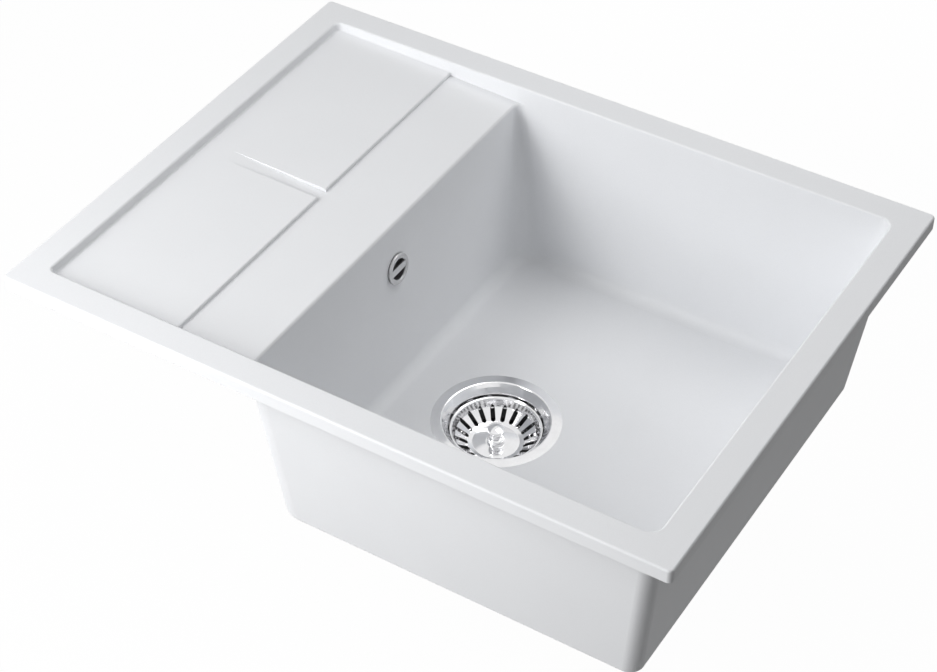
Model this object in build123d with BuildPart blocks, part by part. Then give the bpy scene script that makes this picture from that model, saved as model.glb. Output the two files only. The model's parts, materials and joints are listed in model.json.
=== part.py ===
"""Inset kitchen sink: one bowl, a short drainer, a basket strainer waste and an overflow.

Millimetres. The origin is the middle of the rim's underside, which rests on the worktop.
+X runs from the drainer to the bowl, -Y is the front and +Z is up.
"""
import os
from math import cos, hypot, radians, sin, tan

from build123d import *

os.makedirs("parts", exist_ok=True)

# Rim and the opening inside it
RIM_W = 620.0
RIM_D = 480.0
RIM_T = 12.5
RIM_BORDER = 27.0
RIM_CORNER_R = 4.5
RIM_EDGE_R = 2.0
OPENING_EDGE_R = 2.0
OPENING_LEFT_R = 6.0
OPENING_RIGHT_R = 12.0
DRAFT_ANGLE = 6.0
WALL = 6.5

# Drainer: a plate that falls to a step, a strip that falls to the bowl, a channel in the plate
PLATE_LEN = 126.0
PLATE_DROP = 7.8
PLATE_FALL = 2.5
PLATE_R = 2.0
STEP_H = 3.5
STEP_R = 1.5
STRIP_LEN = 72.5
STRIP_FALL = 2.2
CHANNEL_W = 13.8
CHANNEL_LEN = 99.0
TRAY_T = 7.0

# Bowl
BOWL_DEPTH = 175.0
BOWL_EDGE_R = 3.0
CORNER_TOP_R = 8.0
CORNER_FLOOR_R = 30.0
FLOOR_R = 12.0
FLOOR_T = 7.5
FLOOR_FALL = 1.5
FALL_R = 86.0
OUTER_LEFT_R = 22.0
OUTER_RIGHT_R = 13.0
OUTER_EDGE_R = 3.0

# Drain hole, its place in the bowl and the boss under it
DRAIN_INSET = 114.5
DRAIN_FORWARD = 13.5
DRAIN_HOLE_R = 45.0
DRAIN_CHAMFER = 4.0
BOSS_R = 66.0
BOSS_DROP = 6.5

# Strainer cup
FLANGE_R = 58.0
FLANGE_RISE = 1.0
FLANGE_SEAL_T = 1.2
LIP_R = 48.3
CUP_R = 42.5
CUP_T = 1.2
CUP_DEPTH = 39.5
CUP_BEND_R = 1.6
LIP_H = 7.0
THROAT_W = 3.1
THROAT_H = 2.4
LEDGE_DEPTH = 17.5
LEDGE_W = 4.5
LEDGE_H = 3.0
OUTLET_COUNT = 6
OUTLET_IN_R = 10.5
OUTLET_OUT_R = 20.0
OUTLET_RIB = 4.0

# Clamp screw, washer and insert
SCREW_R = 3.0
SCREW_LEN = 13.0
HEAD_R = 4.5
HEAD_H = 3.5
SOCKET_R = 2.5
SOCKET_H = 2.0
WASHER_R = 8.0
WASHER_T = 1.0
INSERT_R = 5.0
INSERT_LEN = 10.0
INSERT_COVER = 1.8

# Waste body
BODY_SEAL_T = 3.0
BODY_SEAL_W = 12.0
BODY_FLANGE_R = 60.0
BODY_FLANGE_T = 4.0
BODY_R = 44.0
BODY_WALL = 3.5
FUNNEL_H = 12.5
FUNNEL_GAP = 5.0
OUTLET_R = 23.9
OUTLET_WALL = 3.9
OUTLET_LEN = 25.0

# Bridge in the waste body, with a hub for the clamp screw on three arms
HUB_R = 9.0
ARM_COUNT = 3
ARM_W = 4.0
ARM_H = 4.0
ARM_DROP = 0.6
ARM_POCKET = 2.0

# Basket with its plug
BASKET_R = 41.0
BASKET_RIM_W = 2.0
BASKET_T = 1.0
BASKET_DEPTH = 16.2
BASKET_WALL_H = 8.0
BASKET_WALL_R = 36.2
BASKET_KNEE_R = 25.0
BASKET_KNEE_H = 0.8
DISC_R = 21.0
DISC_RISE = 1.0
PAD_R = 9.0
BASKET_BEND_R = 2.0
BASKET_DROP = 9.5
SLOT_COUNT = 20
SLOT_W = 4.2
SLOT_IN_R = 24.6
SLOT_OUT_R = 37.0
STEM_R = 3.2
STEM_GRIP = 9.0
KNOB_FOOT_R = 7.8
KNOB_FOOT_H = 1.2
KNOB_FLARE_H = 3.8
KNOB_NECK_R = 4.2
KNOB_NECK_H = 3.0
KNOB_BALL_R = 5.8
KNOB_BALL_H = 5.2
KNOB_CAP_R = 7.4
KNOB_CAP_H = 1.7
KNOB_CROWN_H = 2.0
CLIP_R = 7.5
CLIP_GRIP = 2.2
PLUG_R = 34.0
PLUG_HUB_R = 8.0
PLUG_LIP = 3.0
PLUG_LIP_H = 2.5

# Overflow fitting and its pipe to the waste body
OVERFLOW_DROP = 60.8
OVERFLOW_R = 12.5
ROSETTE_R = 14.6
ROSETTE_T = 1.8
ROSETTE_EDGE_R = 0.7
ROSETTE_FACE_R = 11.0
ROSETTE_FACE_DROP = 0.4
ROSETTE_BAR = 6.5
ROSETTE_BORE_R = 10.0
ROSETTE_SEAL_T = 0.8
ROSETTE_REACH = 20.0
REAR_SEAL_T = 2.0
ELBOW_FLANGE_R = 18.0
ELBOW_FLANGE_T = 4.0
ELBOW_R = 15.5
ELBOW_DEPTH = 26.0
ELBOW_BACK = 3.0
ELBOW_DROP = 38.0
PIPE_R = 9.5
PIPE_WALL = 1.6
PIPE_BEND_R = 50.0
SOCKET_DEPTH = 12.0
SPIGOT_R = 13.0
SPIGOT_REACH = 72.0
SPIGOT_DROP = 14.0
RING_T = 3.0
NUT_R = 17.0
NUT_LEN = 17.0
NUT_LIP = 4.0
NUT_FLUTES = 12
NUT_FLUTE_R = 2.0

# Clearances
FLANGE_GAP = 0.4
SCREW_GAP = 0.3
RUNNING_GAP = 0.1
STACK_GAP = 0.15
SEAT_GAP = 0.2
THREAD_GAP = 0.1
PIPE_GAP = 0.25
POCKET_GAP = 0.1

# Heights and places that follow from the sizes above
LEAN = tan(radians(DRAFT_ANGLE))
OPEN_LEFT = -RIM_W / 2 + RIM_BORDER
OPEN_RIGHT = RIM_W / 2 - RIM_BORDER
OPEN_HALF = RIM_D / 2 - RIM_BORDER
STEP_X = OPEN_LEFT + PLATE_LEN
BOWL_LEFT = STEP_X + STRIP_LEN
PLATE_Z = RIM_T - PLATE_DROP
STEP_TOP_Z = PLATE_Z - PLATE_FALL
STEP_FOOT_Z = STEP_TOP_Z - STEP_H
EDGE_Z = STEP_FOOT_Z - STRIP_FALL
FLOOR_Z = RIM_T - BOWL_DEPTH
UNDER_Z = FLOOR_Z - FLOOR_T
DRAIN_X = BOWL_LEFT + DRAIN_INSET
DRAIN_Y = -DRAIN_FORWARD
SUMP_Z = FLOOR_Z - FLOOR_FALL
SEAT_Z = SUMP_Z - CUP_T - FLANGE_SEAL_T
BOSS_Z = UNDER_Z - BOSS_DROP
CUP_FLOOR_Z = SUMP_Z - CUP_DEPTH
CUP_UNDER_Z = CUP_FLOOR_Z - CUP_T
HEAD_Z = CUP_FLOOR_Z + WASHER_T
HEAD_TOP_Z = HEAD_Z + HEAD_H
BODY_Z = BOSS_Z - BODY_SEAL_T
FUNNEL_Z = CUP_UNDER_Z - FUNNEL_GAP
OUTLET_Z = FUNNEL_Z - FUNNEL_H
MOUTH_Z = OUTLET_Z - OUTLET_LEN
INSERT_Z = CUP_UNDER_Z - INSERT_COVER
ARM_Z = CUP_UNDER_Z - ARM_DROP
BASKET_Z = SUMP_Z - BASKET_DROP
DISC_Z = BASKET_Z - BASKET_DEPTH
DISC_UNDER_Z = DISC_Z - BASKET_T
PAD_Z = DISC_Z + DISC_RISE
KNOB_Z = PAD_Z + STACK_GAP
LOW_NECK_Z = KNOB_Z + KNOB_FOOT_H + KNOB_FLARE_H
HIGH_NECK_Z = LOW_NECK_Z + KNOB_BALL_H
CAP_Z = HIGH_NECK_Z + KNOB_NECK_H
CROWN_Z = CAP_Z + KNOB_CAP_H + KNOB_CROWN_H
PLUG_Z = PAD_Z - BASKET_T - STACK_GAP
STEM_FOOT_Z = HEAD_TOP_Z + SEAT_GAP
CLIP_TOP_Z = STEM_FOOT_Z + CLIP_GRIP
CLIP_FOOT_Z = HEAD_Z + SEAT_GAP
LIP_FOOT_Z = CUP_FLOOR_Z + SEAT_GAP
SPIGOT_Z = BODY_Z - BODY_FLANGE_T - SPIGOT_DROP

# The drain's axis and the plane of its turned outlines, radius along X and height along Z
DRAIN_AXIS = Axis((DRAIN_X, DRAIN_Y, 0), (0, 0, 1))
DRAIN_SIDE = Plane(origin=(DRAIN_X, DRAIN_Y, 0), x_dir=(1, 0, 0), z_dir=(0, -1, 0))


def lean(z):
    """How far a drafted wall has moved inwards at height z, counted from the rim's top."""
    return (RIM_T - z) * LEAN


def drain_plane(z):
    """Level plane at height z, centred on the drain."""
    return Plane(origin=(DRAIN_X, DRAIN_Y, z))


def bowl_left(z):
    """Inner face of the bowl's drainer-side wall at height z."""
    return BOWL_LEFT + (EDGE_Z - BOWL_EDGE_R - z) * LEAN


# The overflow's axis is square to the drafted wall that it goes through
OVERFLOW_Z = RIM_T - OVERFLOW_DROP
OVERFLOW_DIR = Vector(cos(radians(DRAFT_ANGLE)), 0, sin(radians(DRAFT_ANGLE)))
OVERFLOW_POINT = Vector(bowl_left(OVERFLOW_Z), 0, OVERFLOW_Z)
WALL_BACK = WALL * cos(radians(DRAFT_ANGLE))
ELBOW_FACE = WALL_BACK + REAR_SEAL_T
ELBOW_MID = ELBOW_FACE + ELBOW_DEPTH / 2
ELBOW_POINT = OVERFLOW_POINT - OVERFLOW_DIR * ELBOW_MID
ELBOW_MOUTH_Z = ELBOW_POINT.Z - ELBOW_DROP


def overflow_plane(depth):
    """Plane square to the overflow's axis, at a depth behind the wall's inner face."""
    return Plane(
        origin=OVERFLOW_POINT - OVERFLOW_DIR * depth, x_dir=(0, 1, 0), z_dir=OVERFLOW_DIR
    )


# The pipe lies in the upright plane through the elbow and the drain
PIPE_SPAN = hypot(DRAIN_X - ELBOW_POINT.X, DRAIN_Y - ELBOW_POINT.Y)
PIPE_DIR = Vector(ELBOW_POINT.X - DRAIN_X, ELBOW_POINT.Y - DRAIN_Y, 0).normalized()
PIPE_SIDE = Plane(
    origin=(DRAIN_X, DRAIN_Y, 0), x_dir=PIPE_DIR, z_dir=PIPE_DIR.cross(Vector(0, 0, 1))
)


def spigot_plane(reach):
    """Plane square to the waste body's spigot, at a distance from the drain's axis."""
    return Plane(
        origin=Vector(DRAIN_X, DRAIN_Y, SPIGOT_Z) + PIPE_DIR * reach,
        x_dir=(0, 0, 1),
        z_dir=PIPE_DIR,
    )


def elbow_plane(z):
    """Plane square to the elbow's upright spigot, facing down."""
    return Plane(origin=(ELBOW_POINT.X, ELBOW_POINT.Y, z), x_dir=(1, 0, 0), z_dir=(0, 0, -1))


def plan_section(z, left, right, half, left_r, right_r):
    """Rounded rectangle at height z, with its own corner radius at each end."""
    with BuildSketch(Plane.XY.offset(z)) as section:
        with Locations(((left + right) / 2, 0)):
            Rectangle(right - left, 2 * half)
        fillet(section.vertices().group_by(Axis.X)[0], left_r)
        fillet(section.vertices().group_by(Axis.X)[-1], right_r)
    return section.sketch


def turned(*points):
    """Closed outline of radii and heights beside the drain's axis."""
    with BuildSketch(DRAIN_SIDE) as outline:
        with BuildLine():
            Polyline(*points, close=True)
        make_face()
    return outline.sketch


def pressed(thickness, bend_r, *points):
    """Outline of a bent sheet: its upper face through the points, its metal below."""
    with BuildSketch(DRAIN_SIDE) as outline:
        with BuildLine() as face:
            FilletPolyline(*points, radius=bend_r)
            offset(face.line, amount=thickness, side=Side.LEFT)
        make_face()
    return outline.sketch


def opening_section(z):
    """Opening inside the rim at height z."""
    return plan_section(
        z,
        OPEN_LEFT + lean(z),
        OPEN_RIGHT - lean(z),
        OPEN_HALF - lean(z),
        OPENING_LEFT_R,
        OPENING_RIGHT_R,
    )


def bowl_section(z, left, left_r, right_r):
    """Bowl's inside at height z."""
    return plan_section(z, left, OPEN_RIGHT - lean(z), OPEN_HALF - lean(z), left_r, right_r)


def shell_section(z):
    """Bowl's outside at height z."""
    return plan_section(
        z,
        bowl_left(z) - WALL,
        OPEN_RIGHT + WALL - lean(z),
        OPEN_HALF + WALL - lean(z),
        OUTER_LEFT_R,
        OUTER_RIGHT_R,
    )


def rounded_edge(turn):
    """Bowl section where its rounded drainer-side edge has turned by an angle."""
    z = EDGE_Z - BOWL_EDGE_R * (1 - cos(radians(turn)))
    left = BOWL_LEFT - BOWL_EDGE_R * (1 - sin(radians(turn)))
    return bowl_section(z, left, CORNER_TOP_R, OPENING_RIGHT_R)


# Space inside the bowl, with the rounded edge towards the drainer
with BuildPart() as bowl_space:
    loft(
        [bowl_section(FLOOR_Z, bowl_left(FLOOR_Z), CORNER_FLOOR_R, CORNER_FLOOR_R)]
        + [rounded_edge(turn) for turn in (90, 60, 30, 0)],
        ruled=True,
    )
    fillet(bowl_space.faces().sort_by(Axis.Z)[0].edges(), FLOOR_R)

# Sink: rim slab, drainer tray and bowl in one moulding
with BuildPart() as sink_body:
    with BuildSketch():
        RectangleRounded(RIM_W, RIM_D, RIM_CORNER_R)
    extrude(amount=RIM_T)
    fillet(sink_body.faces().sort_by(Axis.Z)[-1].edges(), RIM_EDGE_R)
    tray_half = OPEN_HALF + WALL - lean(0)
    for tray_left, tray_under in (
        (OPEN_LEFT - WALL + lean(0), STEP_TOP_Z - TRAY_T),
        (STEP_X - TRAY_T, EDGE_Z - TRAY_T),
    ):
        with BuildSketch(Plane.XY.offset(tray_under)):
            with Locations(((tray_left + BOWL_LEFT) / 2, 0)):
                RectangleRounded(BOWL_LEFT - tray_left, 2 * tray_half, OPENING_LEFT_R)
        extrude(amount=RIM_T / 2 - tray_under)
    loft([shell_section(0), shell_section(UNDER_Z)], ruled=True)
    fillet(sink_body.faces().sort_by(Axis.Z)[0].edges(), OUTER_EDGE_R)
    with BuildSketch(drain_plane(BOSS_Z)):
        Circle(BOSS_R)
    extrude(amount=UNDER_Z - BOSS_Z + FLOOR_T / 2)
    add(bowl_space.part, mode=Mode.SUBTRACT)
    loft([opening_section(EDGE_Z), opening_section(RIM_T)], ruled=True, mode=Mode.SUBTRACT)
    opening = sink_body.faces().filter_by(Plane.XY).sort_by(Axis.Z)[-1].inner_wires()[0]
    fillet(opening.edges(), OPENING_EDGE_R)
    # Drainer plate and strip, with the step between them
    with BuildSketch(Plane.XZ) as drainer:
        with BuildLine():
            Polyline(
                (OPEN_LEFT - WALL / 2, EDGE_Z),
                (OPEN_LEFT - WALL / 2, PLATE_Z),
                (OPEN_LEFT, PLATE_Z),
                (STEP_X, STEP_TOP_Z),
                (STEP_X, STEP_FOOT_Z),
                (BOWL_LEFT - BOWL_EDGE_R, EDGE_Z),
                close=True,
            )
        make_face()
        step = drainer.vertices().filter_by_position(Axis.X, STEP_X, STEP_X)
        fillet(step.sort_by(Axis.Y)[-1], STEP_R)
    extrude(amount=OPEN_HALF, both=True)
    plate = sink_body.faces().filter_by_position(Axis.Z, STEP_TOP_Z, PLATE_Z).sort_by(SortBy.AREA)[-1]
    fillet(plate.edges().filter_by_position(Axis.X, OPEN_LEFT, STEP_X - STEP_H), PLATE_R)
    # Channel that sinks through the plate to the strip's level
    channel_x = STEP_X - CHANNEL_LEN
    channel_z = PLATE_Z - PLATE_FALL * (channel_x - OPEN_LEFT) / PLATE_LEN
    strip_slope = STRIP_FALL / (STRIP_LEN - BOWL_EDGE_R)
    with BuildSketch(Plane.XZ):
        with BuildLine():
            Polyline(
                (channel_x, channel_z),
                (STEP_X, STEP_FOOT_Z),
                (STEP_X + STEP_H, STEP_FOOT_Z - STEP_H * strip_slope),
                (STEP_X + STEP_H, PLATE_Z),
                close=True,
            )
        make_face()
    extrude(amount=CHANNEL_W / 2, both=True, mode=Mode.SUBTRACT)
    # Floor that dishes to the drain, the flange's recess and the hole
    with BuildSketch(DRAIN_SIDE):
        with BuildLine():
            dish = TangentArc((FALL_R, FLOOR_Z), (FLANGE_R, SUMP_Z), tangent=(-1, 0))
            Polyline(dish @ 1, (0, SUMP_Z), (0, FLOOR_Z), dish @ 0)
        make_face()
    revolve(axis=DRAIN_AXIS, mode=Mode.SUBTRACT)
    revolve(
        turned(
            (0, SUMP_Z),
            (FLANGE_R + FLANGE_GAP, SUMP_Z),
            (FLANGE_R + FLANGE_GAP, SEAT_Z),
            (DRAIN_HOLE_R + DRAIN_CHAMFER, SEAT_Z),
            (DRAIN_HOLE_R, SEAT_Z - DRAIN_CHAMFER),
            (DRAIN_HOLE_R, BOSS_Z),
            (0, BOSS_Z),
        ),
        axis=DRAIN_AXIS,
        mode=Mode.SUBTRACT,
    )
    with BuildSketch(overflow_plane(0)):
        Circle(OVERFLOW_R)
    extrude(amount=2 * WALL, both=True, mode=Mode.SUBTRACT)


def save(name, part):
    """Label a finished piece and write its file."""
    part.label = name
    export_step(part, f"parts/{name}.step")


save("sink_body", sink_body.part)

# Strainer cup: pressed steel, its flange in the floor's recess and outlets in its own floor
with BuildPart() as strainer_cup:
    revolve(
        pressed(
            CUP_T,
            CUP_BEND_R,
            (FLANGE_R, SUMP_Z),
            (LIP_R, SUMP_Z + FLANGE_RISE),
            (CUP_R + THROAT_W, SUMP_Z - THROAT_H),
            (CUP_R, SUMP_Z - LIP_H),
            (CUP_R, SUMP_Z - LEDGE_DEPTH),
            (CUP_R - LEDGE_W, SUMP_Z - LEDGE_DEPTH - LEDGE_H),
            (CUP_R - LEDGE_W, CUP_FLOOR_Z),
            (SCREW_R + SCREW_GAP, CUP_FLOOR_Z),
        ),
        axis=DRAIN_AXIS,
    )
    with BuildSketch(drain_plane(CUP_UNDER_Z)):
        Circle(OUTLET_OUT_R)
        Circle(OUTLET_IN_R, mode=Mode.SUBTRACT)
        with PolarLocations(0, OUTLET_COUNT // 2, angular_range=180):
            Rectangle(2 * FLANGE_R, OUTLET_RIB, mode=Mode.SUBTRACT)
    extrude(amount=CUP_T, mode=Mode.SUBTRACT)
save("strainer_cup", strainer_cup.part)

# Seal between the flange and its seat
with BuildPart() as flange_seal:
    with BuildSketch(drain_plane(SEAT_Z)):
        Circle(FLANGE_R - FLANGE_GAP)
        Circle(LIP_R + CUP_BEND_R + FLANGE_GAP, mode=Mode.SUBTRACT)
    extrude(amount=FLANGE_SEAL_T)
save("flange_seal", flange_seal.part)

# Seal between the boss and the waste body
with BuildPart() as body_seal:
    with BuildSketch(drain_plane(BODY_Z)):
        Circle(DRAIN_HOLE_R + BODY_SEAL_W)
        Circle(DRAIN_HOLE_R, mode=Mode.SUBTRACT)
    extrude(amount=BODY_SEAL_T)
save("body_seal", body_seal.part)

# Waste body: flange, chamber and funnel, with pockets for the bridge's arms and the overflow's spigot
with BuildPart() as waste_body:
    revolve(
        turned(
            (BODY_R, BODY_Z),
            (BODY_FLANGE_R, BODY_Z),
            (BODY_FLANGE_R, BODY_Z - BODY_FLANGE_T),
            (BODY_R + BODY_WALL, BODY_Z - BODY_FLANGE_T),
            (BODY_R + BODY_WALL, FUNNEL_Z),
            (OUTLET_R, OUTLET_Z),
            (OUTLET_R, MOUTH_Z),
            (OUTLET_R - OUTLET_WALL, MOUTH_Z),
            (OUTLET_R - OUTLET_WALL, OUTLET_Z),
            (BODY_R, FUNNEL_Z),
        ),
        axis=DRAIN_AXIS,
    )
    with BuildSketch(drain_plane(ARM_Z)):
        with PolarLocations(BODY_R, ARM_COUNT):
            Rectangle(2 * (ARM_POCKET + POCKET_GAP), ARM_W + 2 * POCKET_GAP)
    extrude(amount=-(ARM_H + POCKET_GAP), mode=Mode.SUBTRACT)
    with BuildSketch(spigot_plane(BODY_R + BODY_WALL / 2)):
        Circle(SPIGOT_R)
    extrude(amount=SPIGOT_REACH - BODY_R - BODY_WALL / 2)
    with BuildSketch(spigot_plane(SPIGOT_REACH)):
        Circle(PIPE_R + PIPE_GAP)
    extrude(amount=-SOCKET_DEPTH, mode=Mode.SUBTRACT)
    with BuildSketch(spigot_plane(SPIGOT_REACH)):
        Circle(PIPE_R - PIPE_WALL)
    extrude(amount=BODY_R - BODY_WALL - SPIGOT_REACH, mode=Mode.SUBTRACT)
save("waste_body", waste_body.part)

# Bridge: the hub that the screw pulls up, on arms whose ends bear in the waste body's pockets
with BuildPart() as screw_bridge:
    with BuildSketch(drain_plane(ARM_Z)):
        with PolarLocations((BODY_R + ARM_POCKET) / 2, ARM_COUNT):
            Rectangle(BODY_R + ARM_POCKET, ARM_W)
    extrude(amount=-ARM_H)
    with BuildSketch(drain_plane(CUP_UNDER_Z)):
        Circle(HUB_R)
    extrude(amount=-(INSERT_COVER + INSERT_LEN))
    with BuildSketch(drain_plane(CUP_UNDER_Z)):
        Circle(SCREW_R + SCREW_GAP)
    extrude(amount=-INSERT_COVER, mode=Mode.SUBTRACT)
    with BuildSketch(drain_plane(INSERT_Z)):
        Circle(INSERT_R)
    extrude(amount=-INSERT_LEN, mode=Mode.SUBTRACT)
save("screw_bridge", screw_bridge.part)

# Brass insert in the hub
with BuildPart() as insert_nut:
    with BuildSketch(drain_plane(INSERT_Z)):
        Circle(INSERT_R)
        Circle(SCREW_R, mode=Mode.SUBTRACT)
    extrude(amount=-INSERT_LEN)
save("insert_nut", insert_nut.part)

# Clamp screw that draws the cup and the waste body together
with BuildPart() as clamp_screw:
    with BuildSketch(drain_plane(HEAD_Z)):
        Circle(HEAD_R)
    extrude(amount=HEAD_H)
    with BuildSketch(drain_plane(HEAD_Z)):
        Circle(SCREW_R)
    extrude(amount=-SCREW_LEN)
    with BuildSketch(drain_plane(HEAD_TOP_Z)):
        RegularPolygon(SOCKET_R, 6)
    extrude(amount=-SOCKET_H, mode=Mode.SUBTRACT)
save("clamp_screw", clamp_screw.part)

with BuildPart() as screw_washer:
    with BuildSketch(drain_plane(CUP_FLOOR_Z)):
        Circle(WASHER_R)
        Circle(SCREW_R + SCREW_GAP, mode=Mode.SUBTRACT)
    extrude(amount=WASHER_T)
save("screw_washer", screw_washer.part)

# Basket: pressed dish with radial slots, free to turn on the stem
with BuildPart() as strainer_basket:
    revolve(
        pressed(
            BASKET_T,
            BASKET_BEND_R,
            (BASKET_R, BASKET_Z),
            (BASKET_R - BASKET_RIM_W, BASKET_Z),
            (BASKET_WALL_R, BASKET_Z - BASKET_WALL_H),
            (BASKET_KNEE_R, DISC_Z + BASKET_KNEE_H),
            (DISC_R, DISC_Z),
            (PAD_R, PAD_Z),
            (STEM_R + RUNNING_GAP, PAD_Z),
        ),
        axis=DRAIN_AXIS,
    )
    with BuildSketch(drain_plane(BASKET_Z)):
        with PolarLocations((SLOT_IN_R + SLOT_OUT_R) / 2, SLOT_COUNT):
            SlotOverall(SLOT_OUT_R - SLOT_IN_R, SLOT_W)
    extrude(amount=DISC_UNDER_Z - BASKET_Z, mode=Mode.SUBTRACT)
save("strainer_basket", strainer_basket.part)

# Stem that carries the knob, the plug's seal and the clip
with BuildPart() as basket_stem:
    with BuildSketch(drain_plane(STEM_FOOT_Z)):
        Circle(STEM_R)
    extrude(amount=KNOB_Z + STEM_GRIP - STEM_FOOT_Z)
save("basket_stem", basket_stem.part)

# Knob: turned, with a foot, a ball between two necks and a cap
with BuildPart() as basket_knob:
    with BuildSketch(DRAIN_SIDE):
        with BuildLine():
            foot = Polyline(
                (STEM_R, KNOB_Z + STEM_GRIP),
                (STEM_R, KNOB_Z),
                (KNOB_FOOT_R, KNOB_Z),
                (KNOB_FOOT_R, KNOB_Z + KNOB_FOOT_H),
            )
            low_neck = (KNOB_NECK_R, LOW_NECK_Z)
            high_neck = (KNOB_NECK_R, HIGH_NECK_Z)
            cap_under = (KNOB_CAP_R, CAP_Z)
            cap_edge = (KNOB_CAP_R, CAP_Z + KNOB_CAP_H)
            crown = (0, CROWN_Z)
            TangentArc(foot @ 1, low_neck, tangent=(0, 1), tangent_from_first=True)
            ThreePointArc(low_neck, (KNOB_BALL_R, (LOW_NECK_Z + HIGH_NECK_Z) / 2), high_neck)
            TangentArc(high_neck, cap_under, tangent=(0, 1), tangent_from_first=True)
            Line(cap_under, cap_edge)
            TangentArc(crown, cap_edge, tangent=(1, 0))
            Polyline(crown, (0, KNOB_Z + STEM_GRIP), foot @ 0)
        make_face()
    revolve(axis=DRAIN_AXIS)
save("basket_knob", basket_knob.part)

# Plug seal: a rubber umbrella whose lip closes on the cup's floor
with BuildPart() as plug_seal:
    revolve(
        turned(
            (STEM_R, PLUG_Z),
            (PLUG_HUB_R, PLUG_Z),
            (PLUG_HUB_R, PLUG_Z - (PLUG_Z - CLIP_TOP_Z) / 2),
            (PLUG_R, LIP_FOOT_Z + PLUG_LIP_H),
            (PLUG_R, LIP_FOOT_Z),
            (PLUG_R - PLUG_LIP, LIP_FOOT_Z),
            (PLUG_R - PLUG_LIP, LIP_FOOT_Z + PLUG_LIP_H / 2),
            (PLUG_HUB_R, CLIP_TOP_Z),
            (STEM_R, CLIP_TOP_Z),
        ),
        axis=DRAIN_AXIS,
    )
save("plug_seal", plug_seal.part)

# Clip under the seal: holds the stem, and grips the screw's head when the plug is down
with BuildPart() as stem_clip:
    revolve(
        turned(
            (STEM_R, CLIP_TOP_Z),
            (CLIP_R, CLIP_TOP_Z),
            (CLIP_R, CLIP_FOOT_Z),
            (HEAD_R + RUNNING_GAP, CLIP_FOOT_Z),
            (HEAD_R + RUNNING_GAP, STEM_FOOT_Z),
            (STEM_R, STEM_FOOT_Z),
        ),
        axis=DRAIN_AXIS,
    )
save("stem_clip", stem_clip.part)

# Overflow rosette: a disc with a sunk face and two openings either side of a bar, on a sleeve
with BuildPart() as overflow_rosette:
    with BuildSketch(overflow_plane(-ROSETTE_SEAL_T)):
        Circle(ROSETTE_R)
    extrude(amount=ROSETTE_T)
    fillet(overflow_rosette.edges().sort_by(Axis(OVERFLOW_POINT, OVERFLOW_DIR))[-1], ROSETTE_EDGE_R)
    with BuildSketch(overflow_plane(-ROSETTE_SEAL_T - ROSETTE_T)):
        Circle(ROSETTE_FACE_R)
    extrude(amount=-ROSETTE_FACE_DROP, mode=Mode.SUBTRACT)
    with BuildSketch(overflow_plane(-ROSETTE_SEAL_T)):
        Circle(OVERFLOW_R - 2 * THREAD_GAP)
    extrude(amount=-ROSETTE_REACH)
    with BuildSketch(overflow_plane(-ROSETTE_SEAL_T)):
        Circle(ROSETTE_BORE_R)
    extrude(amount=-ROSETTE_REACH, mode=Mode.SUBTRACT)
    with BuildSketch(overflow_plane(-ROSETTE_SEAL_T)):
        Circle(ROSETTE_BORE_R)
        Rectangle(2 * ROSETTE_R, ROSETTE_BAR, mode=Mode.SUBTRACT)
    extrude(amount=ROSETTE_T, mode=Mode.SUBTRACT)
save("overflow_rosette", overflow_rosette.part)

# Seals on the wall's two faces
with BuildPart() as rosette_seal:
    with BuildSketch(overflow_plane(0)):
        Circle(ROSETTE_R - FLANGE_GAP)
        Circle(OVERFLOW_R, mode=Mode.SUBTRACT)
    extrude(amount=ROSETTE_SEAL_T)
save("rosette_seal", rosette_seal.part)

with BuildPart() as rear_seal:
    with BuildSketch(overflow_plane(ELBOW_FACE)):
        Circle(ELBOW_FLANGE_R)
        Circle(OVERFLOW_R, mode=Mode.SUBTRACT)
    extrude(amount=REAR_SEAL_T)
save("rear_seal", rear_seal.part)

# Elbow behind the wall: a chamber with an upright spigot for the pipe
with BuildPart() as overflow_elbow:
    with BuildSketch(overflow_plane(ELBOW_FACE)):
        Circle(ELBOW_FLANGE_R)
    extrude(amount=-ELBOW_FLANGE_T)
    with BuildSketch(overflow_plane(ELBOW_FACE)):
        Circle(ELBOW_R)
    extrude(amount=-ELBOW_DEPTH)
    with BuildSketch(elbow_plane(ELBOW_POINT.Z)):
        Circle(SPIGOT_R)
    extrude(amount=ELBOW_DROP)
    with BuildSketch(overflow_plane(ELBOW_FACE)):
        Circle(OVERFLOW_R - THREAD_GAP)
    extrude(amount=ELBOW_BACK - ELBOW_DEPTH, mode=Mode.SUBTRACT)
    with BuildSketch(elbow_plane(ELBOW_POINT.Z)):
        Circle(PIPE_R - PIPE_WALL)
    extrude(amount=ELBOW_DROP, mode=Mode.SUBTRACT)
    with BuildSketch(elbow_plane(ELBOW_MOUTH_Z)):
        Circle(PIPE_R + PIPE_GAP)
    extrude(amount=-SOCKET_DEPTH, mode=Mode.SUBTRACT)
save("overflow_elbow", overflow_elbow.part)

# Pipe from the elbow down and round to the waste body's spigot
with BuildPart() as overflow_pipe:
    with BuildLine(PIPE_SIDE) as pipe_run:
        FilletPolyline(
            (PIPE_SPAN, ELBOW_MOUTH_Z + SOCKET_DEPTH),
            (PIPE_SPAN, SPIGOT_Z),
            (SPIGOT_REACH - SOCKET_DEPTH, SPIGOT_Z),
            radius=PIPE_BEND_R,
        )
    for pipe_r, how in ((PIPE_R, Mode.ADD), (PIPE_R - PIPE_WALL, Mode.SUBTRACT)):
        with BuildSketch(elbow_plane(ELBOW_MOUTH_Z + SOCKET_DEPTH)):
            Circle(pipe_r)
        sweep(path=pipe_run.line, mode=how)
save("overflow_pipe", overflow_pipe.part)


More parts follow.
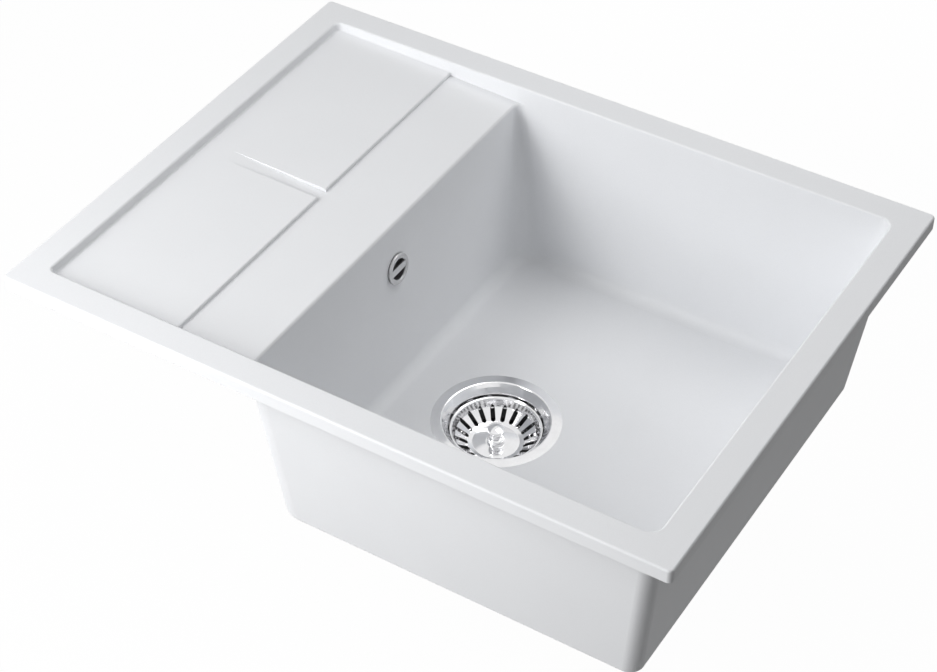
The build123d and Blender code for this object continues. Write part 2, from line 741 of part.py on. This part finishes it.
def pipe_ring(mouth):
    """Seal ring round the pipe, against a spigot's mouth."""
    with BuildPart() as ring:
        with BuildSketch(mouth):
            Circle(SPIGOT_R)
            Circle(PIPE_R, mode=Mode.SUBTRACT)
        extrude(amount=RING_T)
    return ring.part


def pipe_nut(mouth):
    """Fluted nut that holds a seal ring against a spigot's mouth."""
    with BuildPart() as nut:
        with BuildSketch(mouth.offset(RING_T + NUT_LIP)):
            Circle(NUT_R)
            with PolarLocations(NUT_R, NUT_FLUTES):
                Circle(NUT_FLUTE_R, mode=Mode.SUBTRACT)
        extrude(amount=-NUT_LEN)
        with BuildSketch(mouth.offset(RING_T)):
            Circle(SPIGOT_R + THREAD_GAP)
        extrude(amount=-NUT_LEN, mode=Mode.SUBTRACT)
        with BuildSketch(mouth.offset(RING_T)):
            Circle(PIPE_R + PIPE_GAP)
        extrude(amount=NUT_LIP, mode=Mode.SUBTRACT)
    return nut.part


ELBOW_MOUTH = elbow_plane(ELBOW_MOUTH_Z)
WASTE_MOUTH = spigot_plane(SPIGOT_REACH)
save("elbow_ring", pipe_ring(ELBOW_MOUTH))
save("elbow_nut", pipe_nut(ELBOW_MOUTH))
save("waste_ring", pipe_ring(WASTE_MOUTH))
save("waste_nut", pipe_nut(WASTE_MOUTH))
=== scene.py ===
"""Finishes, moulded thread, light and camera for the kitchen sink. Metres, in the model's frame."""
import json
from math import cos, pi, radians, sin

import bmesh
import bpy
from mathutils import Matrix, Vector


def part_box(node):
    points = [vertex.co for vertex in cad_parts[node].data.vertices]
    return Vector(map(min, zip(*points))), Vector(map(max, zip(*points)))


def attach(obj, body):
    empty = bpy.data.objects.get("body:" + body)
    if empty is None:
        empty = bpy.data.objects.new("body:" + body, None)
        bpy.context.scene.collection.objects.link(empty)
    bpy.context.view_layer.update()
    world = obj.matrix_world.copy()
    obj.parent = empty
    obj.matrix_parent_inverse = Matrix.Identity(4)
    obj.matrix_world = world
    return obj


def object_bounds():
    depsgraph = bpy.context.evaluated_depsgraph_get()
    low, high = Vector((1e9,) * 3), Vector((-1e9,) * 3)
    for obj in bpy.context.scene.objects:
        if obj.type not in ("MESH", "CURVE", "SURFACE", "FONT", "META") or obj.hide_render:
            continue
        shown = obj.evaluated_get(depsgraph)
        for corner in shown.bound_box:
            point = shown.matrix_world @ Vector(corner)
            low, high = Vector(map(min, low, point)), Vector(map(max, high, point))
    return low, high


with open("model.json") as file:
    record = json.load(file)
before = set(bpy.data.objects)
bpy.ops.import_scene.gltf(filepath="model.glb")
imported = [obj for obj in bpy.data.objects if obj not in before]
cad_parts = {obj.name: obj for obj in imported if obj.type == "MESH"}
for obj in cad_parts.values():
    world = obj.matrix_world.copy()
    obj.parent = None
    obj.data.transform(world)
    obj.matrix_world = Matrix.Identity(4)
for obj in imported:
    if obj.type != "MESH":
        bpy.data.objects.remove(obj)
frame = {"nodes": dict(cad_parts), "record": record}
CAD_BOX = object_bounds()

MM = 0.001

# Places that follow from the model
CUP_LOW, CUP_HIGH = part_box("strainer_cup")
DRAIN = Vector(((CUP_LOW.x + CUP_HIGH.x) / 2, (CUP_LOW.y + CUP_HIGH.y) / 2, 0))
OUTLET = next(m for m in frame["record"]["mounts"] if m["name"] == "waste_outlet")
OUTLET_R = OUTLET["dims"]["r_mm"] * MM
OUTLET_LEN = OUTLET["dims"]["length_mm"] * MM

# Camera at the photograph's viewing angle
PHOTO_W = 937
CAMERA_AT = Vector((0.75567, -1.25774, 1.2237))
CAMERA_AZIMUTH = 31.90
CAMERA_ELEVATION = 41.82
FOCAL_PIXELS = 2279.4
SENSOR_MM = 36.0
SHIFT_PIXELS = 19.6

# Moulded thread on the waste outlet; its crest and root widths are shares of the pitch
THREAD_PITCH = 2.309 * MM
THREAD_HEIGHT = 0.6 * MM
THREAD_SUNK = 0.2 * MM
THREAD_MARGIN = 2.5 * MM
THREAD_CREST = 0.2
THREAD_ROOT = 0.84
THREAD_STEPS = 96

# Noise: most of its values lie between these two
NOISE_LOW = 0.3
NOISE_HIGH = 0.7

# Composite; every scale here and below is in features for each metre
COMPOSITE_DARK = (0.800, 0.810, 0.828)
COMPOSITE_LIGHT = (0.840, 0.850, 0.868)
COMPOSITE_GRAIN_SCALE = 1400
COMPOSITE_CLOUD_SCALE = 14
COMPOSITE_GRAIN_SHARE = 0.7
COMPOSITE_ROUGHNESS = (0.50, 0.60)
COMPOSITE_SPECULAR = 0.35
COMPOSITE_RELIEF = 0.05 * MM
COMPOSITE_BUMP = 0.25
UNDERSIDE_FACING = -0.5
UNDERSIDE_ROUGHER = 0.25

# Polished steel of the strainer, with turned rings
POLISHED_DARK = (0.76, 0.76, 0.77)
POLISHED_LIGHT = (0.86, 0.86, 0.87)
RING_SCALE = 3000
RING_SHARE = 0.5
RING_ROUGHER = 0.03
RING_RELIEF = 0.01 * MM
RING_BUMP = 0.2
POLISHED_SMEAR_SCALE = 90
POLISHED_ROUGHNESS = (0.07, 0.11)

# Satin steel of the overflow, brushed along Y
SATIN_DARK = (0.50, 0.50, 0.505)
SATIN_LIGHT = (0.63, 0.63, 0.635)
BRUSH_SCALE = 2600
BRUSH_STRETCH = (1, 0.06, 1)
BRUSH_SHARE = 0.6
BRUSH_RELIEF = 0.01 * MM
BRUSH_BUMP = 0.3
SATIN_SMEAR_SCALE = 160
SATIN_ROUGHNESS = (0.26, 0.38)

# Other metals: the dullest spot is this many times as rough as the brightest
METAL_DULL = 1.8

# Moulded plastic and rubber
MOULDED_GRAIN_SHARE = 0.4
MOULDED_CLOUD_SCALE = 60
MOULDED_ROUGHER = 0.12
MOULDED_BUMP = 0.4

# Stage
FLOOR_SIZE = 12.0
FLOOR_GAP = 60 * MM
FLOOR_COLOUR = (0.9, 0.9, 0.9)
FLOOR_BOUNCE = (0.3, 0.3, 0.3)
FLOOR_GLOW = 0.975
FLOOR_ROUGHNESS = 0.9
AMBIENT = 0.15

# Soft lamps: power in watts, and the length of a side
LAMPS = {
    "key": {"place": (-0.6, -0.8, 0.8), "power": 6.5, "size": 0.5},
    "front": {"place": (-0.58, -1.59, 0.62), "power": 11.2, "size": 0.7},
    "side": {"place": (-1.39, -0.97, 0.62), "power": 4.0, "size": 0.7},
    "low": {"place": (-0.35, -1.05, 0.0), "power": 2.4, "size": 0.5},
    "overhead": {"place": (0.25, 0.6, 1.2), "power": 7.3, "size": 0.8},
    "behind": {"place": (-0.3, 1.3, 0.0), "power": 3.0, "size": 0.5},
}


def new_material(name):
    """Empty node material with its shader, and the object's own coordinates."""
    made = bpy.data.materials.new(name)
    made.use_nodes = True
    tree = made.node_tree
    shader = tree.nodes["Principled BSDF"]
    place = tree.nodes.new("ShaderNodeTexCoord").outputs["Object"]
    return made, tree, shader, place


def noise(tree, vector, scale, detail=3.0, rough=0.55):
    """Noise value, with its scale in features for each metre."""
    node = tree.nodes.new("ShaderNodeTexNoise")
    node.inputs["Scale"].default_value = scale
    node.inputs["Detail"].default_value = detail
    node.inputs["Roughness"].default_value = rough
    tree.links.new(vector, node.inputs["Vector"])
    return node.outputs["Fac"]


def spread(tree, value, low, high):
    """A noise value spread from low to high."""
    node = tree.nodes.new("ShaderNodeMapRange")
    node.inputs["From Min"].default_value = NOISE_LOW
    node.inputs["From Max"].default_value = NOISE_HIGH
    node.inputs["To Min"].default_value = low
    node.inputs["To Max"].default_value = high
    tree.links.new(value, node.inputs["Value"])
    return node.outputs["Result"]


def combine(tree, operation, first, second):
    """Two values put together; each is a socket or a number."""
    node = tree.nodes.new("ShaderNodeMath")
    node.operation = operation
    for socket, value in zip(node.inputs, (first, second)):
        if isinstance(value, (int, float)):
            socket.default_value = value
        else:
            tree.links.new(value, socket)
    return node.outputs["Value"]


def shared(tree, first, second, share):
    """Two noise values added up to a factor from 0 to 1, of which the first has the given share."""
    return combine(tree, "ADD", spread(tree, first, 0, share), spread(tree, second, 0, 1 - share))


def vector_math(tree, operation, vector, other=None):
    """Node that works on a vector, with a second one where the operation takes two."""
    node = tree.nodes.new("ShaderNodeVectorMath")
    node.operation = operation
    tree.links.new(vector, node.inputs[0])
    if other is not None:
        node.inputs[1].default_value = other
    return node


def mixed_colour(tree, factor, dark, light):
    """Colour between two, by a factor from 0 to 1."""
    node = tree.nodes.new("ShaderNodeMix")
    node.data_type = "RGBA"
    node.inputs["A"].default_value = (*dark, 1)
    node.inputs["B"].default_value = (*light, 1)
    tree.links.new(factor, node.inputs["Factor"])
    return node.outputs["Result"]


def bump(tree, shader, height, distance, strength):
    """Raise the surface by a height value."""
    node = tree.nodes.new("ShaderNodeBump")
    node.inputs["Strength"].default_value = strength
    node.inputs["Distance"].default_value = distance
    tree.links.new(height, node.inputs["Height"])
    tree.links.new(node.outputs["Normal"], shader.inputs["Normal"])


def around_drain(tree, place):
    """Distance from the drain's axis as a vector, so that a noise of it makes turned rings."""
    offset = vector_math(tree, "SUBTRACT", place, DRAIN).outputs["Vector"]
    flat = vector_math(tree, "MULTIPLY", offset, (1, 1, 0)).outputs["Vector"]
    radius = vector_math(tree, "LENGTH", flat).outputs["Value"]
    joined = tree.nodes.new("ShaderNodeCombineXYZ")
    tree.links.new(radius, joined.inputs["X"])
    return joined.outputs["Vector"]


def underside(tree):
    """1 on faces that look down, 0 on the others."""
    facing = tree.nodes.new("ShaderNodeNewGeometry")
    parts = tree.nodes.new("ShaderNodeSeparateXYZ")
    tree.links.new(facing.outputs["True Normal"], parts.inputs["Vector"])
    return combine(tree, "LESS_THAN", parts.outputs["Z"], UNDERSIDE_FACING)


def composite():
    """Matt white quartz composite: fine grains, a soft cloud and a rougher underside."""
    made, tree, shader, place = new_material("composite_white")
    grain = noise(tree, place, COMPOSITE_GRAIN_SCALE, detail=2.0, rough=0.6)
    cloud = noise(tree, place, COMPOSITE_CLOUD_SCALE, detail=2.0)
    tone = shared(tree, grain, cloud, COMPOSITE_GRAIN_SHARE)
    colour = mixed_colour(tree, tone, COMPOSITE_DARK, COMPOSITE_LIGHT)
    tree.links.new(colour, shader.inputs["Base Color"])
    matt = spread(tree, grain, *COMPOSITE_ROUGHNESS)
    rougher = combine(tree, "MULTIPLY", underside(tree), UNDERSIDE_ROUGHER)
    tree.links.new(combine(tree, "ADD", matt, rougher), shader.inputs["Roughness"])
    shader.inputs["Specular IOR Level"].default_value = COMPOSITE_SPECULAR
    bump(tree, shader, grain, COMPOSITE_RELIEF, COMPOSITE_BUMP)
    return made


def polished_steel():
    """Stainless steel with faint turned rings about the drain and soft smears."""
    made, tree, shader, place = new_material("polished_steel")
    rings = noise(tree, around_drain(tree, place), RING_SCALE, detail=4.0)
    smear = noise(tree, place, POLISHED_SMEAR_SCALE)
    tone = shared(tree, rings, smear, RING_SHARE)
    tree.links.new(mixed_colour(tree, tone, POLISHED_DARK, POLISHED_LIGHT), shader.inputs["Base Color"])
    shader.inputs["Metallic"].default_value = 1.0
    smeared = spread(tree, smear, *POLISHED_ROUGHNESS)
    uneven = combine(tree, "ADD", spread(tree, rings, 0, RING_ROUGHER), smeared)
    tree.links.new(uneven, shader.inputs["Roughness"])
    bump(tree, shader, rings, RING_RELIEF, RING_BUMP)
    return made


def satin_steel():
    """Satin stainless steel with a fine straight brush across the overflow's disc."""
    made, tree, shader, place = new_material("satin_steel")
    stretched = vector_math(tree, "MULTIPLY", place, BRUSH_STRETCH).outputs["Vector"]
    brush = noise(tree, stretched, BRUSH_SCALE)
    smear = noise(tree, place, SATIN_SMEAR_SCALE)
    tone = shared(tree, brush, smear, BRUSH_SHARE)
    tree.links.new(mixed_colour(tree, tone, SATIN_DARK, SATIN_LIGHT), shader.inputs["Base Color"])
    shader.inputs["Metallic"].default_value = 1.0
    tree.links.new(spread(tree, brush, *SATIN_ROUGHNESS), shader.inputs["Roughness"])
    bump(tree, shader, brush, BRUSH_RELIEF, BRUSH_BUMP)
    return made


def plain_metal(name, dark, light, roughness, scale):
    """Plated or turned metal with a soft, uneven polish."""
    made, tree, shader, place = new_material(name)
    smear = noise(tree, place, scale, detail=4.0)
    colour = mixed_colour(tree, spread(tree, smear, 0, 1), dark, light)
    tree.links.new(colour, shader.inputs["Base Color"])
    shader.inputs["Metallic"].default_value = 1.0
    uneven = spread(tree, smear, roughness, METAL_DULL * roughness)
    tree.links.new(uneven, shader.inputs["Roughness"])
    return made


def moulded(name, dark, light, roughness, grain_scale, relief):
    """Moulded plastic or rubber: fine grain in its relief, a soft cloud in its colour and gloss."""
    made, tree, shader, place = new_material(name)
    grain = noise(tree, place, grain_scale)
    cloud = noise(tree, place, MOULDED_CLOUD_SCALE)
    tone = shared(tree, grain, cloud, MOULDED_GRAIN_SHARE)
    tree.links.new(mixed_colour(tree, tone, dark, light), shader.inputs["Base Color"])
    uneven = spread(tree, cloud, roughness, roughness + MOULDED_ROUGHER)
    tree.links.new(uneven, shader.inputs["Roughness"])
    bump(tree, shader, grain, relief, MOULDED_BUMP)
    return made


FINISHES = {
    "composite": composite(),
    "polished_steel": polished_steel(),
    "satin_steel": satin_steel(),
    "chrome": plain_metal(
        "bright_chrome",
        dark=(0.78, 0.78, 0.79),
        light=(0.86, 0.86, 0.87),
        roughness=0.035,
        scale=220,
    ),
    "brass": plain_metal(
        "turned_brass",
        dark=(0.66, 0.48, 0.22),
        light=(0.78, 0.60, 0.31),
        roughness=0.2,
        scale=500,
    ),
    "black_rubber": moulded(
        "black_rubber",
        dark=(0.018, 0.018, 0.019),
        light=(0.034, 0.034, 0.036),
        roughness=0.55,
        grain_scale=1800,
        relief=0.06 * MM,
    ),
    "white_plastic": moulded(
        "white_plastic",
        dark=(0.74, 0.745, 0.75),
        light=(0.80, 0.805, 0.81),
        roughness=0.36,
        grain_scale=1200,
        relief=0.05 * MM,
    ),
    "grey_plastic": moulded(
        "grey_plastic",
        dark=(0.16, 0.165, 0.175),
        light=(0.21, 0.215, 0.225),
        roughness=0.38,
        grain_scale=1200,
        relief=0.05 * MM,
    ),
}


def finish_nodes():
    """Give every CAD node the finish of its material slot."""
    for entry in frame["record"]["subparts"]:
        mesh = frame["nodes"][entry["node"]].data
        mesh.materials.clear()
        mesh.materials.append(FINISHES[entry["material_slot"]])


def thread_section(form, turn, fade):
    """Four corners of the ridge at a turn of the helix, from its lower root to its upper root."""
    angle = 2 * pi * turn
    root = OUTLET_R - THREAD_SUNK
    crest = OUTLET_R + THREAD_HEIGHT * fade
    outline = (
        (root, -THREAD_ROOT / 2),
        (crest, -THREAD_CREST / 2),
        (crest, THREAD_CREST / 2),
        (root, THREAD_ROOT / 2),
    )
    section = []
    for reach, rise in outline:
        height = OUTLET["pos_m"][2] + THREAD_MARGIN + THREAD_PITCH * (turn + rise)
        across = (DRAIN.x + reach * cos(angle), DRAIN.y + reach * sin(angle))
        section.append(form.verts.new((*across, height)))
    return section


def outlet_thread():
    """Raised helix round the waste outlet, fading out over its first and last turn."""
    turns = (OUTLET_LEN - 2 * THREAD_MARGIN) / THREAD_PITCH
    form = bmesh.new()
    ridge = []
    for step in range(int(turns * THREAD_STEPS) + 1):
        turn = step / THREAD_STEPS
        ridge.append(thread_section(form, turn, fade=min(1.0, turn, turns - turn)))
    for before, after in zip(ridge, ridge[1:]):
        for corner in range(len(before)):
            beside = (corner + 1) % len(before)
            form.faces.new((before[corner], after[corner], after[beside], before[beside]))
    form.faces.new(ridge[0])
    form.faces.new(reversed(ridge[-1]))
    bmesh.ops.recalc_face_normals(form, faces=form.faces)
    mesh = bpy.data.meshes.new("outlet_thread")
    form.to_mesh(mesh)
    form.free()
    mesh.materials.append(FINISHES["white_plastic"])
    piece = bpy.data.objects.new("outlet_thread", mesh)
    bpy.context.scene.collection.objects.link(piece)
    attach(piece, "sink")


def seen_by_eye(tree):
    """1 for rays that show the background: straight, reflected or passed through."""
    path = tree.nodes.new("ShaderNodeLightPath")
    straight = combine(tree, "MAXIMUM", path.outputs["Is Camera Ray"], path.outputs["Is Glossy Ray"])
    return combine(tree, "MAXIMUM", straight, path.outputs["Is Transmission Ray"])


def set_world():
    """White background; a soft even light from all round."""
    world = bpy.data.worlds.new("studio")
    world.use_nodes = True
    bpy.context.scene.world = world
    tree = world.node_tree
    background = tree.nodes["Background"]
    background.inputs["Color"].default_value = (1, 1, 1, 1)
    strength = tree.nodes.new("ShaderNodeMapRange")
    strength.inputs["To Min"].default_value = AMBIENT
    strength.inputs["To Max"].default_value = 1.0
    tree.links.new(seen_by_eye(tree), strength.inputs["Value"])
    tree.links.new(strength.outputs["Result"], background.inputs["Strength"])


def mixed_shader(tree, factor, first, second):
    """Shader between two, by a factor from 0 to 1."""
    node = tree.nodes.new("ShaderNodeMixShader")
    tree.links.new(factor, node.inputs["Fac"])
    tree.links.new(first, node.inputs[1])
    tree.links.new(second, node.inputs[2])
    return node.outputs["Shader"]


def floor_finish():
    """White to the eye, with a faint soft shadow; grey where it bounces light; clear from below."""
    made, tree, shader, _ = new_material("pale_floor")
    seen = seen_by_eye(tree)
    colour = mixed_colour(tree, seen, FLOOR_BOUNCE, FLOOR_COLOUR)
    tree.links.new(colour, shader.inputs["Base Color"])
    shader.inputs["Roughness"].default_value = FLOOR_ROUGHNESS
    shader.inputs["Specular IOR Level"].default_value = 0.0
    white = tree.nodes.new("ShaderNodeEmission").outputs["Emission"]
    glow = combine(tree, "MULTIPLY", seen, FLOOR_GLOW)
    above = mixed_shader(tree, glow, shader.outputs["BSDF"], white)
    clear = tree.nodes.new("ShaderNodeBsdfTransparent").outputs["BSDF"]
    back = tree.nodes.new("ShaderNodeNewGeometry").outputs["Backfacing"]
    both = mixed_shader(tree, back, above, clear)
    tree.links.new(both, tree.nodes["Material Output"].inputs["Surface"])
    return made


def set_floor():
    """Pale floor a little below the sink."""
    form = bmesh.new()
    bmesh.ops.create_grid(form, x_segments=1, y_segments=1, size=FLOOR_SIZE / 2)
    mesh = bpy.data.meshes.new("floor")
    form.to_mesh(mesh)
    form.free()
    mesh.materials.append(floor_finish())
    floor = bpy.data.objects.new("floor", mesh)
    floor.location.z = CAD_BOX[0].z - FLOOR_GAP
    bpy.context.scene.collection.objects.link(floor)


def softbox(name, place, power, size):
    """Square soft lamp that looks at the model's origin."""
    data = bpy.data.lights.new(name, "AREA")
    data.shape = "SQUARE"
    data.size = size
    data.energy = power
    lamp = bpy.data.objects.new(name, data)
    lamp.location = place
    lamp.rotation_euler = (-Vector(place)).to_track_quat("-Z", "Y").to_euler()
    lamp.visible_camera = False
    bpy.context.scene.collection.objects.link(lamp)


def set_camera():
    """Camera at the photograph's place, angle and framing."""
    data = bpy.data.cameras.new("camera")
    data.sensor_width = SENSOR_MM
    data.lens = FOCAL_PIXELS / PHOTO_W * SENSOR_MM
    data.shift_x = SHIFT_PIXELS / PHOTO_W
    camera = bpy.data.objects.new("camera", data)
    camera.location = CAMERA_AT
    camera.rotation_euler = (radians(90 - CAMERA_ELEVATION), 0, radians(CAMERA_AZIMUTH))
    bpy.context.scene.collection.objects.link(camera)
    bpy.context.scene.camera = camera


finish_nodes()
outlet_thread()
set_world()
set_floor()
for lamp_name, lamp_values in LAMPS.items():
    softbox(lamp_name, **lamp_values)
set_camera()
bpy.context.scene.view_settings.view_transform = "Standard"
